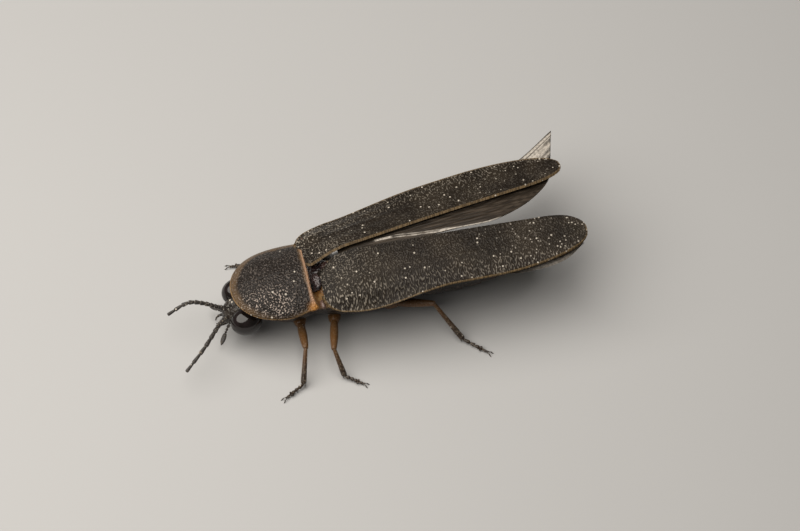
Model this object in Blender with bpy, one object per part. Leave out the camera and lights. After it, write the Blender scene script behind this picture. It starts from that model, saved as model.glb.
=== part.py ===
"""A male firefly, life size, standing with its wing cases slightly parted.

The head points along -Y, the animal's left side is +X and the floor is at Z = 0.
Sizes are millimetres and are turned to metres as each mesh is finished. Before the
model is centred, Y = 0 is the back edge of the neck shield.
"""
import math
import bpy
import bmesh
from mathutils import Matrix, Vector

MM = 0.001
GAP = 0.1

# The neck shield, a hood over the head
SHIELD_LENGTH = 2.52
SHIELD_HALF_WIDTH = 1.5
SHIELD_REAR_HALF_WIDTH = 1.37
SHIELD_YAW = math.radians(-3.5)
SHIELD_REAR_EDGE = 1.87
SHIELD_FRONT_DROP = 0.15
SHIELD_DOME = 0.45
SHIELD_THICKNESS = 0.42
SHIELD_MARGIN_THICKNESS = 0.3
SHIELD_SIDE_DROP = 0.15
SHIELD_HIND_LOBE = 0.06
SHIELD_KEEL = 0.05

# Head and what it carries
JAW_RADIUS = 0.06
EYE_RADIUS = 0.45
EYE_HALF_LENGTH = 0.52
EYE_SPREAD = 0.62
EYE_Y = -2.2
EYE_Z = 1.05

# Wing cases
CASE_LENGTH = 8.75
CASE_WIDTH = 1.8
CASE_WIDTHS = ((0, 1.76), (0.15, 1.92), (0.5, 1.76), (1, 1.66))
CASE_CREST = ((0, 2.5), (0.15, 2.82), (0.5, 2.85), (1, 2.8))
CASE_SIDE_DROP = ((0, 0.3), (0.15, 0.52), (0.5, 0.14), (1, 0.06))
CASE_SHOULDER = 0.07
CASE_SHOULDER_HEIGHT = 0.09
CASE_BASE_SHARE = 0.68
CASE_CORNER = 0.4
CASE_THICKNESS = 0.45
CASE_RIM_THICKNESS = 0.28
CASE_INNER_TURN = (0.84, 2.5)
CASE_OUTER_TURN = (0.64, 2.0)
CASE_TIP_X = 0.64
CASE_TIP_HALF = 0.08
CASE_RIBS = (0.25, 0.5, 0.75)
CASE_RIB_HEIGHT = 0.05
CASE_RIM_HEIGHT = 0.03
# How each case lies: the left one nearly closed, the right one swung out
CASE_BASE_Y = {1: 0.33, -1: 0.3}
CASE_INNER_X = {1: -0.05, -1: 0.1}
CASE_HINGE_X = 0.33
CASE_SPLAY = {1: math.radians(3.2), -1: math.radians(7.5)}
CASE_ROLL = {1: math.radians(7), -1: math.radians(12)}

# Flying wings, folded below the cases
WING_THICKNESS = 0.45
WING_TIP_THICKNESS = 0.25
WING_CLEARANCE = 0.16
WING_BASE_Y = 1.1
WING_VEIN_HEIGHT = 0.05

# Plate between the wing cases
SCUTELLUM_BASE = 1.8

# Belly
ABDOMEN_START = 3.0
ABDOMEN_END = 7.5
ABDOMEN_SEGMENTS = 7
ABDOMEN_STEP = 0.05

SIDES = {"left": 1, "right": -1}


def clear_scene():
    for item in list(bpy.data.objects):
        bpy.data.objects.remove(item, do_unlink=True)


def paint(name, colour, roughness, metallic=0.0):
    """One Principled material for one kind of surface."""
    material = bpy.data.materials.new(name)
    material.use_nodes = True
    shader = material.node_tree.nodes["Principled BSDF"]
    shader.inputs["Base Color"].default_value = (*colour, 1.0)
    shader.inputs["Roughness"].default_value = roughness
    shader.inputs["Metallic"].default_value = metallic
    return material


def blend(a, b, t):
    return a + (b - a) * t


def ease(x, low, high):
    """0 below low, 1 above high and a smooth step between."""
    t = min(max((x - low) / (high - low), 0.0), 1.0)
    return t * t * (3 - 2 * t)


def stations(x, table):
    """Reads a value at x from a few (x, value) stations, smoothly."""
    for (x0, v0), (x1, v1) in zip(table, table[1:]):
        if x <= x1:
            return blend(v0, v1, ease(x, x0, x1))
    return table[-1][1]


def round_off(x, start, power):
    """1 up to start, then a rounded fall to 0 at x = 1."""
    t = min(max(x - start, 0.0) / (1 - start), 1.0)
    return math.sqrt(1 - t ** power)


def bump(x, centre, half_width):
    """A rounded ridge of height 1 at centre, 0 from half_width outwards."""
    t = abs(x - centre) / half_width
    return (1 - t * t) ** 2 if t < 1 else 0.0


def finish(mesh_data, name, anchor, material):
    """Turns a drawn mesh to an object whose origin is its anchor."""
    bmesh.ops.translate(mesh_data, verts=mesh_data.verts, vec=-Vector(anchor))
    bmesh.ops.scale(mesh_data, verts=mesh_data.verts, vec=(MM, MM, MM))
    bmesh.ops.recalc_face_normals(mesh_data, faces=mesh_data.faces)
    mesh = bpy.data.meshes.new(name)
    mesh_data.to_mesh(mesh)
    mesh_data.free()
    mesh.shade_smooth()
    mesh.set_sharp_from_angle(angle=math.radians(40))
    item = bpy.data.objects.new(name, mesh)
    item.location = Vector(anchor) * MM
    bpy.context.collection.objects.link(item)
    if material:
        mesh.materials.append(material)
    bpy.context.view_layer.update()
    return item


def skin(rings):
    """A closed body through rings of equal count, with a pole at each end."""
    mesh_data = bmesh.new()
    rows = [[mesh_data.verts.new(point) for point in ring] for ring in rings]
    count = len(rows[0])
    for low, high in zip(rows, rows[1:]):
        for i in range(count):
            j = (i + 1) % count
            mesh_data.faces.new((low[i], low[j], high[j], high[i]))
    for row in (rows[0], rows[-1]):
        centre = sum((vert.co for vert in row), Vector()) / count
        pole = mesh_data.verts.new(centre)
        for i in range(count):
            mesh_data.faces.new((row[i], row[(i + 1) % count], pole))
    bmesh.ops.triangulate(mesh_data, faces=mesh_data.faces)
    return mesh_data


def plate(upper, lower):
    """A closed plate from two matching grids of points, split alike on both faces."""
    mesh_data = bmesh.new()
    top = [[mesh_data.verts.new(point) for point in row] for row in upper]
    base = [[mesh_data.verts.new(point) for point in row] for row in lower]
    rows, columns = len(top), len(top[0])
    for r in range(rows - 1):
        for c in range(columns - 1):
            for grid in (top, base):
                a, b = grid[r][c], grid[r][c + 1]
                d, e = grid[r + 1][c], grid[r + 1][c + 1]
                mesh_data.faces.new((a, b, e))
                mesh_data.faces.new((a, e, d))
    rim = [(0, c) for c in range(columns)]
    rim += [(r, columns - 1) for r in range(1, rows)]
    rim += [(rows - 1, c) for c in reversed(range(columns - 1))]
    rim += [(r, 0) for r in reversed(range(1, rows - 1))]
    for (r0, c0), (r1, c1) in zip(rim, rim[1:] + rim[:1]):
        mesh_data.faces.new((top[r0][c0], top[r1][c1], base[r1][c1]))
        mesh_data.faces.new((top[r0][c0], base[r1][c1], base[r0][c0]))
    return mesh_data


def section(y, half_width, low, high, sides, squareness, grow=0.0):
    """One upright ring of a body: a rounded section across the animal."""
    ring = []
    middle = (low + high) / 2
    width = half_width + grow
    height = (high - low) / 2 + grow
    for i in range(sides):
        angle = 2 * math.pi * (i + 0.5) / sides
        c, s = math.cos(angle), math.sin(angle)
        x = width * math.copysign(abs(c) ** (2 / squareness), c)
        z = middle + height * math.copysign(abs(s) ** (2 / squareness), s)
        ring.append(Vector((x, y, z)))
    return ring


def body(table, sides, squareness, grow=0.0):
    """A body from (y, half width, underside, top) stations, grown outwards for cutters."""
    rings = []
    for i, (y, half_width, low, high) in enumerate(table):
        shift = -grow if i == 0 else grow if i == len(table) - 1 else 0.0
        rings.append(section(y + shift, half_width, low, high, sides, squareness, grow))
    return skin(rings)


def smooth_path(points, steps):
    """Points read evenly along a smooth curve through a few given ones."""
    ends = [points[0] * 2 - points[1]] + points + [points[-1] * 2 - points[-2]]
    path = []
    spans = len(points) - 1
    for step in range(steps + 1):
        place = step / steps * spans
        i = min(int(place), spans - 1)
        t = place - i
        a, b, c, d = ends[i:i + 4]
        path.append(0.5 * (2 * b + (c - a) * t + (2 * a - 5 * b + 4 * c - d) * t * t
                           + (3 * b - a - 3 * c + d) * t ** 3))
    return path


def tube(path, radii, sides, floor=None):
    """A closed tube of varying radius along a path, flat where it meets the floor."""
    rings = []
    side = None
    for i, centre in enumerate(path):
        before, after = path[max(i - 1, 0)], path[min(i + 1, len(path) - 1)]
        along = (after - before).normalized()
        if side is None:
            side = along.cross(Vector((0, 0, 1))).normalized()
        side = (side - along * side.dot(along)).normalized()
        rise = side.cross(along)
        ring = []
        for k in range(sides):
            angle = 2 * math.pi * (k + 0.5) / sides
            point = centre + side * (math.cos(angle) * radii[i])
            point += rise * (math.sin(angle) * radii[i])
            if floor is not None:
                point.z = max(point.z, floor)
            ring.append(point)
        rings.append(ring)
    return skin(rings)


def apply_modifiers(item):
    """Keeps the shape that the modifiers make and drops the modifiers."""
    graph = bpy.context.evaluated_depsgraph_get()
    shaped = bpy.data.meshes.new_from_object(item.evaluated_get(graph))
    old = item.data
    item.modifiers.clear()
    item.data = shaped
    bpy.data.meshes.remove(old)


def keep_largest(item):
    """Leaves only the largest closed surface of a mesh."""
    mesh_data = bmesh.new()
    mesh_data.from_mesh(item.data)
    left = set(mesh_data.verts)
    shells = []
    while left:
        shell = {left.pop()}
        front = list(shell)
        while front:
            vert = front.pop()
            for edge in vert.link_edges:
                other = edge.other_vert(vert)
                if other not in shell:
                    shell.add(other)
                    front.append(other)
        left -= shell
        shells.append(shell)
    shells.sort(key=len)
    for shell in shells[:-1]:
        bmesh.ops.delete(mesh_data, geom=list(shell), context="VERTS")
    mesh_data.to_mesh(item.data)
    mesh_data.free()


def cut(item, cutters):
    """Takes each cutter's volume out of an item."""
    for cutter in cutters:
        cutter.hide_render = True
        cutter.display_type = "WIRE"
        trim = item.modifiers.new("trim", "BOOLEAN")
        trim.operation = "DIFFERENCE"
        trim.solver = "EXACT"
        trim.object = cutter
    apply_modifiers(item)
    keep_largest(item)


def join(name, pieces):
    """Makes one closed body of pieces that overlap."""
    item = pieces[0]
    group = bpy.data.collections.new(name + "_pieces")
    bpy.context.scene.collection.children.link(group)
    for piece in pieces[1:]:
        group.objects.link(piece)
    union = item.modifiers.new("union", "BOOLEAN")
    union.operation = "UNION"
    union.solver = "EXACT"
    union.operand_type = "COLLECTION"
    union.collection = group
    apply_modifiers(item)
    for piece in pieces[1:]:
        bpy.data.objects.remove(piece, do_unlink=True)
    bpy.data.collections.remove(group)
    keep_largest(item)
    return item


def shield_outline(turn):
    """The neck shield's outline: a round front, and a straight back edge with small hind lobes."""
    if turn < 0.7:
        angle = math.pi * (turn / 0.7 - 0.5)
        y = blend(SHIELD_HIND_LOBE, -SHIELD_LENGTH, math.cos(angle) ** 0.6)
        half = blend(SHIELD_REAR_HALF_WIDTH, SHIELD_HALF_WIDTH, ease(-y, 0.0, 0.9))
        return half * math.sin(angle), y
    x = SHIELD_REAR_HALF_WIDTH * (1 - 2 * (turn - 0.7) / 0.3)
    return x, SHIELD_HIND_LOBE * abs(x / SHIELD_REAR_HALF_WIDTH) ** 5


def shield_top(x, y):
    """Height of the neck shield: a dome inside a sloping margin, with a low keel."""
    back = min(max(-y / SHIELD_LENGTH, 0.0), 1.0)
    wide = abs(x / SHIELD_HALF_WIDTH) ** 2
    edge = SHIELD_REAR_EDGE - SHIELD_FRONT_DROP * back ** 1.3 - SHIELD_SIDE_DROP * wide
    dome = SHIELD_DOME * max(1 - wide - back ** 3.3, 0.0) ** 0.9
    keel = SHIELD_KEEL * bump(x, 0.0, 0.12) * ease(back, 0.02, 0.2) * (1 - ease(back, 0.7, 0.95))
    return edge + dome + keel


def make_shield(material, cutters):
    around = 44
    bands = (0.22, 0.45, 0.65, 0.8, 0.91, 1.0)
    centre = Vector((0.0, -1.1, 0.0))
    mesh_data = bmesh.new()
    faces = []
    for lower in (False, True):
        rows = []
        for band in bands:
            row = []
            for i in range(around):
                x, y = shield_outline(i / around)
                x, y = centre.x + (x - centre.x) * band, centre.y + (y - centre.y) * band
                z = shield_top(x, y)
                if lower:
                    z -= blend(SHIELD_THICKNESS, SHIELD_MARGIN_THICKNESS, ease(band, 0.6, 1.0))
                row.append(mesh_data.verts.new((x, y, z)))
            rows.append(row)
        depth = SHIELD_THICKNESS if lower else 0.0
        pole = mesh_data.verts.new((centre.x, centre.y, shield_top(centre.x, centre.y) - depth))
        faces.append(rows[-1])
        for i in range(around):
            j = (i + 1) % around
            mesh_data.faces.new((rows[0][i], rows[0][j], pole))
            for low, high in zip(rows, rows[1:]):
                mesh_data.faces.new((low[i], low[j], high[j]))
                mesh_data.faces.new((low[i], high[j], high[i]))
    top, base = faces
    for i in range(around):
        j = (i + 1) % around
        mesh_data.faces.new((top[i], top[j], base[j]))
        mesh_data.faces.new((top[i], base[j], base[i]))
    turned = Matrix.Rotation(SHIELD_YAW, 3, "Z")
    bmesh.ops.rotate(mesh_data, verts=mesh_data.verts, cent=(0, 0, 0), matrix=turned)
    item = finish(mesh_data, "neck_shield", (0, 0, SHIELD_REAR_EDGE), material)
    cut(item, cutters)
    return item


HEAD = (
    (-2.84, 0.24, 0.62, 1.02),
    (-2.73, 0.4, 0.5, 1.24),
    (-2.5, 0.54, 0.44, 1.38),
    (-2.2, 0.6, 0.44, 1.44),
    (-1.9, 0.62, 0.48, 1.5),
    (-1.57, 0.52, 0.58, 1.46),
)
NECK = (
    (-1.46, 0.7, 0.52, 1.62),
    (-1.0, 0.88, 0.5, 1.76),
    (-0.4, 0.95, 0.5, 1.8),
    (-0.02, 0.9, 0.55, 1.76),
)
THORAX = (
    (0.1, 0.88, 0.56, 1.7),
    (0.4, 1.08, 0.48, 1.94),
    (0.9, 1.14, 0.44, 2.02),
    (1.06, 1.15, 0.43, 1.7),
    (1.8, 1.15, 0.42, 1.78),
    (2.5, 1.1, 0.42, 1.74),
    (2.9, 0.95, 0.5, 1.64),
)


def eye_ball(side, grow=0.0):
    """A ball that is slightly longer from front to back."""
    mesh_data = bmesh.new()
    bmesh.ops.create_uvsphere(mesh_data, u_segments=18, v_segments=11, radius=EYE_RADIUS + grow)
    stretch = (EYE_HALF_LENGTH + grow) / (EYE_RADIUS + grow)
    bmesh.ops.scale(mesh_data, verts=mesh_data.verts, vec=(1.0, stretch, 1.0))
    place = Vector((side * EYE_SPREAD, EYE_Y, EYE_Z))
    bmesh.ops.translate(mesh_data, verts=mesh_data.verts, vec=place)
    bmesh.ops.triangulate(mesh_data, faces=mesh_data.faces)
    return mesh_data, place


def make_eye(name, side, material):
    mesh_data, place = eye_ball(side)
    return finish(mesh_data, name, place, material)


def make_head(material, cutters):
    """The head between the eyes, with two small hooked jaws."""
    item = finish(body(HEAD, 20, 2.3), "head", (0, HEAD[-1][0], 1.0), material)
    cut(item, cutters)
    pieces = [item]
    for side in SIDES.values():
        path = [Vector((side * x, y, z)) for x, y, z in
                ((0.17, -2.7, 0.68), (0.19, -2.94, 0.62), (0.14, -3.04, 0.58), (0.05, -3.08, 0.56))]
        radii = [JAW_RADIUS * k for k in (1.3, 1.1, 0.8, 0.3)]
        pieces.append(finish(tube(path, radii, 6), "jaw", path[0], material))
    return join("head", pieces)


def make_neck(material):
    return finish(body(NECK, 20, 2.4), "front_thorax", (0, 0, 1.1), material)


def make_thorax(material):
    return finish(body(THORAX, 22, 2.4), "thorax", (0, THORAX[0][0], 1.1), material)


def abdomen(grow=0.0):
    """Seven overlapping rings, widest in the middle and narrowing to the tail."""
    length = (ABDOMEN_END - ABDOMEN_START) / ABDOMEN_SEGMENTS
    rings = []
    for i in range(ABDOMEN_SEGMENTS):
        for place, swell in ((0.0, 0.0), (0.35, 0.7), (0.9, 1.0)):
            along = (i + place) / ABDOMEN_SEGMENTS
            width = stations(along, ((0, 0.9), (0.35, 1.0), (0.7, 0.92), (1, 0.42)))
            low = stations(along, ((0, 0.55), (0.4, 0.48), (1, 0.95)))
            high = stations(along, ((0, 1.54), (0.3, 1.58), (1, 1.45)))
            y = blend(ABDOMEN_START, ABDOMEN_END, along)
            rings.append(section(y, width, low, high, 18, 2.2, ABDOMEN_STEP * swell + grow))
    rings.append(section(ABDOMEN_END + length * 0.12, 0.28, 1.05, 1.4, 18, 2.2, grow))
    if grow:
        rings.insert(0, section(ABDOMEN_START - grow, 0.9, 0.55, 1.54, 18, 2.2, grow))
    return skin(rings)


def make_abdomen(material):
    return finish(abdomen(), "abdomen", (0, ABDOMEN_START, 1.1), material)


def scutellum(grow=0.0):
    """The small pointed plate between the bases of the wing cases."""
    upper = []
    lower = []
    steps = 4
    for r in range(steps + 1):
        t = r / steps
        y = blend(0.16 - grow, 0.84 + grow, t)
        half = 0.36 * (1 - t ** 1.6) + 0.04 + grow
        row_top = []
        row_base = []
        for c in (-1, -0.5, 0, 0.5, 1):
            row_top.append(Vector((half * c, y, 2.3 + 0.12 * t - 0.05 * c * c + grow)))
            row_base.append(Vector((half * c, y, SCUTELLUM_BASE - grow)))
        upper.append(row_top)
        lower.append(row_base)
    return plate(upper, lower)


def make_scutellum(material, cutters):
    item = finish(scutellum(), "scutellum", (0, 0.16, SCUTELLUM_BASE), material)
    cut(item, cutters)
    return item


def case_sag(side, x, along):
    """How far a wing case's own top lies below its crest at a distance across it."""
    drop = stations(along, CASE_SIDE_DROP) * (abs(x) / CASE_WIDTH) ** 1.8
    return x * math.sin(CASE_ROLL[side]) + drop * math.cos(CASE_ROLL[side])


def case_point(side, across, along, depth):
    """A point of a wing case. Across runs from the inner edge, depth is below the top."""
    shoulder = math.sqrt(1 - (1 - min(along / CASE_SHOULDER, 1.0)) ** 2)
    full = stations(along, CASE_WIDTHS) * blend(CASE_BASE_SHARE, 1.0, shoulder)
    start = CASE_INNER_X[side] + CASE_CORNER * (1 - ease(along, 0.0, CASE_SHOULDER))
    inner = blend(CASE_TIP_X - CASE_TIP_HALF, start, round_off(along, *CASE_INNER_TURN))
    outer = blend(CASE_TIP_X + CASE_TIP_HALF, full, round_off(along, *CASE_OUTER_TURN))
    x = blend(inner, outer, across)
    y = along * CASE_LENGTH
    z = stations(along, CASE_CREST) - case_sag(side, x, along)
    if depth == 0:
        fade = ease(along, 0.02, 0.12) * (1 - ease(along, 0.7, 0.92))
        for rib in CASE_RIBS:
            z += CASE_RIB_HEIGHT * bump(across, rib, 0.06) * fade
        z += CASE_RIM_HEIGHT * (bump(across, 0, 0.05) + bump(across, 1, 0.05))
        z += CASE_SHOULDER_HEIGHT * bump(across, 0.72, 0.3) * bump(along, 0.06, 0.06)
    splay = CASE_SPLAY[side]
    reach = x * math.cos(CASE_ROLL[side]) - depth * math.sin(CASE_ROLL[side]) - CASE_HINGE_X
    x = CASE_HINGE_X + reach * math.cos(splay) + y * math.sin(splay)
    y = CASE_BASE_Y[side] + y * math.cos(splay) - reach * math.sin(splay)
    return Vector((side * x, y, z - depth * math.cos(CASE_ROLL[side])))


def below_case(side, x, y):
    """Height of a wing case's underside, at a place measured out from the midline."""
    splay = CASE_SPLAY[side]
    out = x - CASE_HINGE_X
    back = y - CASE_BASE_Y[side]
    reach = out * math.cos(splay) - back * math.sin(splay)
    along = (out * math.sin(splay) + back * math.cos(splay)) / CASE_LENGTH
    own_x = (CASE_HINGE_X + reach) / math.cos(CASE_ROLL[side])
    return stations(along, CASE_CREST) - case_sag(side, own_x, along) - CASE_THICKNESS


def make_case(name, side, material, cutters):
    columns = [0.0, 0.05]
    for rib in CASE_RIBS:
        columns += [rib - 0.05, rib, rib + 0.05]
    columns += [0.95, 1.0]
    rows = 20
    upper = []
    lower = []
    for r in range(rows):
        along = (1 - math.cos(math.pi * r / (rows - 1))) / 2
        upper.append([case_point(side, c, along, 0.0) for c in columns])
        under = []
        for c in columns:
            edge = min(c, 1 - c, 8 * along + 0.02, 8 * (1 - along) + 0.02)
            under.append(blend(CASE_RIM_THICKNESS, CASE_THICKNESS, ease(edge, 0.0, 0.2)))
        lower.append([case_point(side, c, along, d) for c, d in zip(columns, under)])
    item = finish(plate(upper, lower), name, case_point(side, 0.5, 0.0, 0.2), material)
    cut(item, cutters)
    return item


# Outlines of the folded flying wings as (y, x) stations, inner and outer edge
WING_INNER = {
    1: ((0, 0.02), (0.62, 0.02), (0.8, 0.42), (1, 1.15)),
    -1: ((0, 0.1), (0.72, 0.12), (0.85, 0.5), (1, 1.45)),
}
WING_OUTER = {
    1: ((0, 0.95), (0.3, 1.1), (0.5, 1.2), (0.8, 1.5), (1, 1.25)),
    -1: ((0, 0.95), (0.3, 1.15), (0.5, 1.4), (0.8, 2.5), (1, 3.4)),
}
WING_END_Y = {1: 9.1, -1: 8.5}
WING_SLANT = {1: 0.0, -1: 0.6}
WING_FLARE = {1: 0.1, -1: 0.9}
WING_VEINS = (0.12, 0.32, 0.52, 0.72, 0.9)


def wing_point(side, across, along, depth):
    """A point of a folded flying wing, below the wing case of its side."""
    inner = stations(along, WING_INNER[side])
    outer = stations(along, WING_OUTER[side])
    x = blend(inner, outer, across)
    y = blend(WING_BASE_Y, WING_END_Y[side], along)
    y += WING_SLANT[side] * across * ease(along, 0.7, 1.0)
    z = below_case(side, x, y) - WING_CLEARANCE
    z += WING_FLARE[side] * ease(along, 0.82, 1.0) * ease(across, 0.45, 1.0)
    if depth == 0:
        fade = ease(along, 0.0, 0.1) * (1 - ease(along, 0.9, 1.0))
        for vein in WING_VEINS:
            z += WING_VEIN_HEIGHT * bump(across, vein, 0.05) * fade
        z -= WING_VEIN_HEIGHT
    return Vector((side * x, y, z - depth))


def make_wing(name, side, material, cutters):
    columns = [0.0]
    for vein in WING_VEINS:
        columns += [vein - 0.05, vein, vein + 0.05]
    columns += [1.0]
    rows = 16
    upper = []
    lower = []
    for r in range(rows):
        along = r / (rows - 1)
        thickness = blend(WING_THICKNESS, WING_TIP_THICKNESS, ease(along, 0.8, 1.0))
        upper.append([wing_point(side, c, along, 0.0) for c in columns])
        lower.append([wing_point(side, c, along, thickness) for c in columns])
    item = finish(plate(upper, lower), name, wing_point(side, 0.5, 0.0, 0.2), material)
    cut(item, cutters)
    return item


# Feelers: the curve that each follows from its socket to its tip
FEELER_ROUTES = {
    "left": ((0.28, -2.6, 0.9), (0.37, -2.95, 1.0), (0.66, -3.2, 1.05), (1.27, -3.74, 1.0),
             (1.9, -4.5, 0.8)),
    "right": ((-0.28, -2.6, 0.9), (-0.28, -3.0, 1.05), (-0.36, -3.4, 1.2), (-0.46, -3.9, 1.26),
              (-0.35, -4.58, 1.0)),
}
FEELER_SEGMENTS = 11


def make_feeler(name, route, material, cutters):
    """Eleven joints, each narrow at its base and widest near its end."""
    per_segment = 3
    path = smooth_path([Vector(p) for p in route], FEELER_SEGMENTS * per_segment)
    radii = []
    for i in range(len(path)):
        along = i / (len(path) - 1)
        girth = stations(along, ((0, 0.17), (0.12, 0.24), (0.7, 0.22), (1, 0.11)))
        neck = 0.78 if i % per_segment == 0 else 1.0
        radii.append(girth * neck)
    item = finish(tube(path, radii, 8), name, route[0], material)
    cut(item, cutters)
    return item


def make_palp(name, side, material, cutters):
    """A short mouth feeler with a lance-shaped last joint."""
    route = [Vector((side * 0.3, -2.66, 0.62)), Vector((side * 0.52, -2.9, 0.52)),
             Vector((side * 0.82, -3.08, 0.4))]
    path = smooth_path(route, 7)
    radii = (0.12, 0.14, 0.1, 0.14, 0.12, 0.16, 0.13, 0.05)
    item = finish(tube(path, radii, 8), name, route[0], material)
    cut(item, cutters)
    return item


# Legs: where each is rooted, its knee, its ankle and the tip of its foot
LEG_JOINTS = {
    "leg_front_left": ((0.5, -0.45, 0.62), (2.12, -0.6, 0.95), (2.9, -0.9, 0.24), (3.2, -1.5, 0.08)),
    "leg_middle_left": ((0.6, 0.72, 0.6), (2.4, 0.26, 0.95), (2.92, 0.46, 0.24), (3.3, 0.95, 0.08)),
    "leg_hind_left": ((0.7, 2.3, 0.62), (1.56, 3.85, 1.1), (2.5, 4.52, 0.24), (3.12, 5.13, 0.08)),
    "leg_front_right": ((-0.5, -0.5, 0.62), (-1.8, -0.95, 0.96), (-2.3, -1.35, 0.24),
                        (-2.45, -2.0, 0.08)),
    "leg_middle_right": ((-0.6, 0.75, 0.6), (-2.05, 0.95, 0.96), (-2.5, 1.5, 0.24),
                         (-2.85, 2.1, 0.08)),
    "leg_hind_right": ((-0.7, 2.3, 0.62), (-1.6, 3.75, 1.1), (-2.5, 4.6, 0.24), (-2.95, 5.3, 0.08)),
}
# Girth of the thigh and the shin as (share of the length, radius)
THIGH = ((0.0, 0.3), (0.22, 0.29), (0.3, 0.24), (0.6, 0.28), (0.85, 0.26), (0.97, 0.23))
SHIN = ((0.08, 0.22), (0.4, 0.24), (0.75, 0.25), (0.95, 0.22))
FOOT_JOINTS = 5


def make_claw(ankle, tip, turn, material):
    """One small hooked claw, set off to one side of the foot's line."""
    ahead = Vector((tip.x - ankle.x, tip.y - ankle.y, 0)).normalized()
    aside = Vector((-ahead.y, ahead.x, 0)) * turn
    path = [tip + ahead * forward + aside * outward + Vector((0, 0, rise)) for forward, outward, rise in
            ((-0.1, 0.0, 0.0), (0.08, 0.06, 0.02), (0.2, 0.1, 0.0), (0.28, 0.11, -0.05))]
    radii = (0.07, 0.06, 0.04, 0.012)
    return finish(tube(path, radii, 6), "claw", tip, material)


def make_leg(name, joints, material, cutters):
    """Hip, thigh, shin and a foot of five joints with two claws."""
    root, knee, ankle, tip = (Vector(p) for p in joints)
    path = []
    radii = []
    for t, radius in THIGH:
        path.append(root.lerp(knee, t))
        radii.append(radius)
    for t, radius in SHIN:
        path.append(knee.lerp(ankle, t))
        radii.append(radius)
    for i in range(FOOT_JOINTS):
        for t, radius in ((0.15, 0.15), (0.85, 0.21)):
            place = (i + t) / FOOT_JOINTS
            centre = ankle.lerp(tip, place)
            centre.z = blend(ankle.z, tip.z, ease(place, 0.0, 0.5))
            path.append(centre)
            lobe = 1.15 if i == FOOT_JOINTS - 2 else 1.0
            radii.append(radius * lobe * blend(1.0, 0.7, place))
    item = finish(tube(path, radii, 8, floor=0.0), name, root, material)
    cut(item, cutters)
    claws = [make_claw(ankle, tip, turn, material) for turn in (1, -1)]
    return join(name, [item] + claws)


def centre_on_floor(items):
    """Parents everything to an empty that stands the model on the floor, centred."""
    corners = [item.matrix_world @ vert.co for item in items for vert in item.data.vertices]
    low = [min(c[i] for c in corners) for i in range(3)]
    high = [max(c[i] for c in corners) for i in range(3)]
    root = bpy.data.objects.new("firefly", None)
    bpy.context.collection.objects.link(root)
    for item in items:
        item.parent = root
    root.location = (-(low[0] + high[0]) / 2, -(low[1] + high[1]) / 2, -low[2])


def build():
    clear_scene()
    shell = paint("dark shell", (0.021, 0.018, 0.015), 0.5)
    hood = paint("neck shield", (0.045, 0.03, 0.02), 0.45)
    case_skin = paint("wing case", (0.02, 0.017, 0.014), 0.55)
    membrane = paint("wing membrane", (0.05, 0.04, 0.035), 0.3)
    eye_gloss = paint("eye", (0.012, 0.01, 0.012), 0.08)
    feeler_skin = paint("feeler", (0.03, 0.025, 0.02), 0.6)
    leg_skin = paint("leg", (0.16, 0.075, 0.025), 0.45)
    belly_skin = paint("belly", (0.05, 0.035, 0.025), 0.5)

    eye_rooms = []
    for side in SIDES.values():
        mesh_data, place = eye_ball(side, GAP)
        eye_rooms.append(finish(mesh_data, "eye_room", place, None))
    origin = (0, 0, 0)
    head_room = finish(body(HEAD, 20, 2.3, GAP), "head_room", origin, None)
    neck_room = finish(body(NECK, 20, 2.4, GAP), "neck_room", origin, None)
    thorax_room = finish(body(THORAX, 22, 2.4, GAP), "thorax_room", origin, None)
    abdomen_room = finish(abdomen(GAP), "abdomen_room", origin, None)
    scutellum_room = finish(scutellum(GAP), "scutellum_room", origin, None)

    items = [
        make_shield(hood, eye_rooms + [head_room, neck_room]),
        make_head(shell, eye_rooms),
        make_neck(belly_skin),
        make_thorax(shell),
        make_abdomen(belly_skin),
        make_scutellum(shell, [thorax_room]),
    ]
    for word, side in SIDES.items():
        items.append(make_eye("eye_" + word, side, eye_gloss))
        items.append(make_palp("palp_" + word, side, feeler_skin, [head_room]))
        route = FEELER_ROUTES[word]
        items.append(make_feeler("feeler_" + word, route, feeler_skin, [head_room] + eye_rooms))
        case_rooms = [thorax_room, scutellum_room]
        items.append(make_case("wing_case_" + word, side, case_skin, case_rooms))
        items.append(make_wing("flying_wing_" + word, side, membrane, [thorax_room]))
    for name, joints in LEG_JOINTS.items():
        rooms = [neck_room] if "front" in name else [thorax_room, abdomen_room]
        items.append(make_leg(name, joints, leg_skin, rooms))
    for room in eye_rooms + [head_room, neck_room, thorax_room, abdomen_room, scutellum_room]:
        bpy.data.objects.remove(room, do_unlink=True)
    centre_on_floor(items)


build()
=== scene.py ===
"""The looks of a life-size male firefly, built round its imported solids.

Lengths are millimetres until a piece is settled into the frame. The head points along -Y, the
animal's left side is +X, the floor is Z = 0, and Y = 0 is the back edge of the neck shield.
"""
import math
import bpy
from mathutils import Matrix, Vector


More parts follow.
